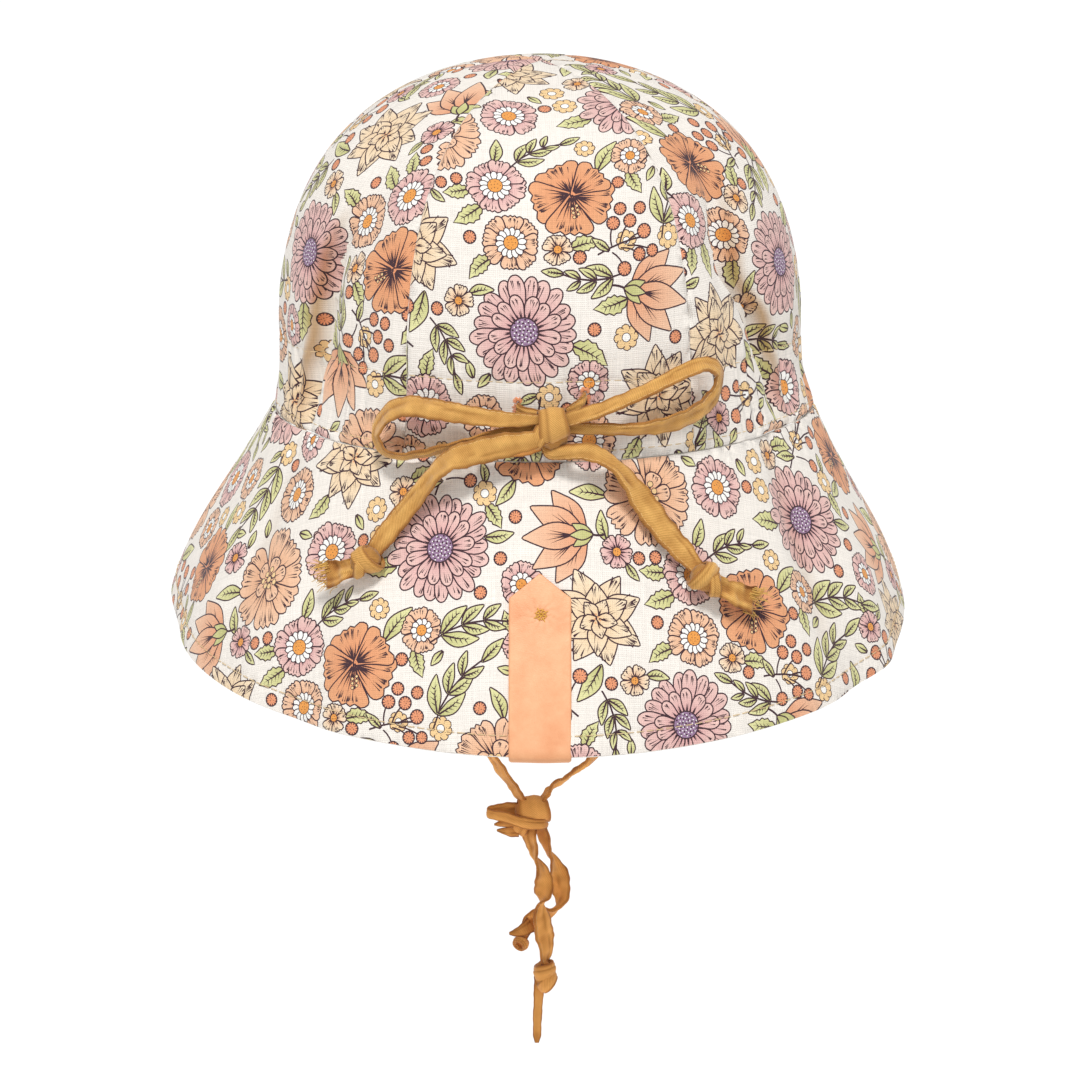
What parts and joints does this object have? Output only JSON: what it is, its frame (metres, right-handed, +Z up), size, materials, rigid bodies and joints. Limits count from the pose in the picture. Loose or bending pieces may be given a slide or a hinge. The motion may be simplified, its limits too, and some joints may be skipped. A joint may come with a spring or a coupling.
{
  "type": "legionnaire hat",
  "caption": "Small child's legionnaire sun hat of printed linen: sewn crown, neck flap, soft peak, drawstring bow at the nape, leather tag and knotted chin ties.",
  "frame": {"origin": "centre of the head opening, level with the seam between crown and flap", "axes": "+Y the way the wearer faces, +X towards the wearer's right, +Z up through the crown"},
  "size_m": [0.229, 0.2733, 0.3132],
  "materials": {
    "printed_linen": null,
    "mustard_tape": "matt folded linen tape",
    "tag_leather": "smooth undyed vegetable-tanned leather"
  },
  "bodies": {
    "root": {"crown_back": "printed_linen", "crown_back_right": "printed_linen", "crown_front_right": "printed_linen", "crown_front": "printed_linen", "crown_front_left": "printed_linen", "crown_back_left": "printed_linen", "neck_flap": "printed_linen", "front_peak": "printed_linen", "leather_tag": "tag_leather", "bow_knot": "mustard_tape", "bow_root_left": "mustard_tape", "bow_root_right": "mustard_tape", "bow_loop_left": "mustard_tape", "bow_loop_right": "mustard_tape", "bow_tail_left": "mustard_tape", "bow_tail_right": "mustard_tape", "bow_end_left": "mustard_tape", "bow_end_right": "mustard_tape", "chin_strap_left": "mustard_tape", "chin_strap_right": "mustard_tape", "chin_knot": "mustard_tape", "chin_tail_left": "mustard_tape", "chin_tail_right": "mustard_tape", "chin_end_left": "mustard_tape"}
  },
  "joints": []
}
